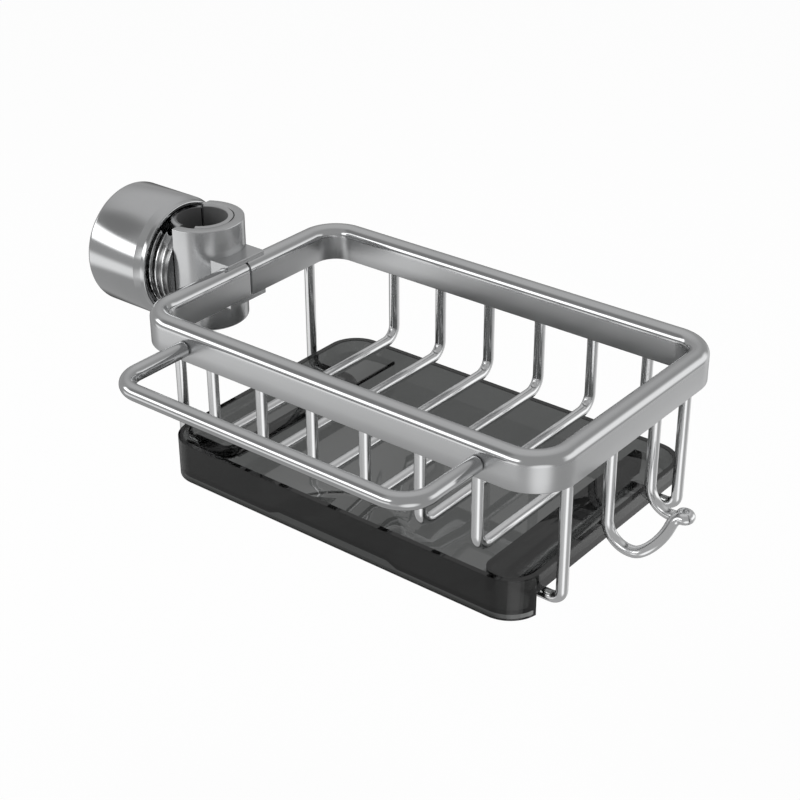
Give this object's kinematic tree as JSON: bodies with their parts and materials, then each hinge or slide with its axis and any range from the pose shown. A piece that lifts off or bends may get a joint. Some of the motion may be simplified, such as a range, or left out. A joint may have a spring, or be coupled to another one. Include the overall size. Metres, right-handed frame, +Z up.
{
  "type": "kitchen sink caddy",
  "caption": "Rectangular wire basket with a rounded rim, towel bar, cloth hook and sliding drip tray, held on a tap's pipe by a sleeve clamp with a threaded cap.",
  "frame": {"origin": "on the axis of the gripped pipe, at half the height of the clamp's sleeve", "axes": "+Z up along the pipe, +X from the clamp to the basket along its length, +Y to the basket's rear"},
  "size_m": [0.3171, 0.1809, 0.1018],
  "materials": {
    "satin_metal": "satin",
    "polished_wire": "polished",
    "cast_metal": "satin",
    "turned_metal": "semi-gloss",
    "rubber": "matte",
    "smoky_plastic": "gloss"
  },
  "bodies": {
    "caddy": {"rim_band": "satin_metal", "cross_wire_1": "polished_wire", "cross_wire_2": "polished_wire", "cross_wire_3": "polished_wire", "cross_wire_4": "polished_wire", "cross_wire_5": "polished_wire", "cross_wire_6": "polished_wire", "tray_hanger_left": "polished_wire", "tray_hanger_right": "polished_wire", "cloth_hook": "polished_wire", "towel_bar": "satin_metal", "towel_bar_screws": "polished_wire", "band_bracket": "cast_metal", "clamp_body": "cast_metal", "sleeve_liner": "rubber"},
    "tray": {"drip_tray": "smoky_plastic"},
    "pressure_pad": {"pad_carrier": "cast_metal", "grip_pad": "rubber"},
    "cap": {"clamp_cap": "turned_metal"}
  },
  "joints": [
    {"name": "tray_slide", "type": "slide", "parent": "caddy", "child": "tray", "axis": [0, -1, 0], "range_m": [0, 0.09]},
    {"name": "pad_travel", "type": "slide", "parent": "caddy", "child": "pressure_pad", "axis": [1, 0, 0], "range_m": [-0.012, 0]},
    {"name": "cap_turn", "type": "hinge", "parent": "pressure_pad", "child": "cap", "pos_m": [-0.03, 0, 0], "axis": [1, 0, 0], "range_deg": [-1080, 0]}
  ],
  "couplings": [
    {"joint": "pad_travel", "follows": "cap_turn", "m_per_rad": 0.00063662}
  ]
}
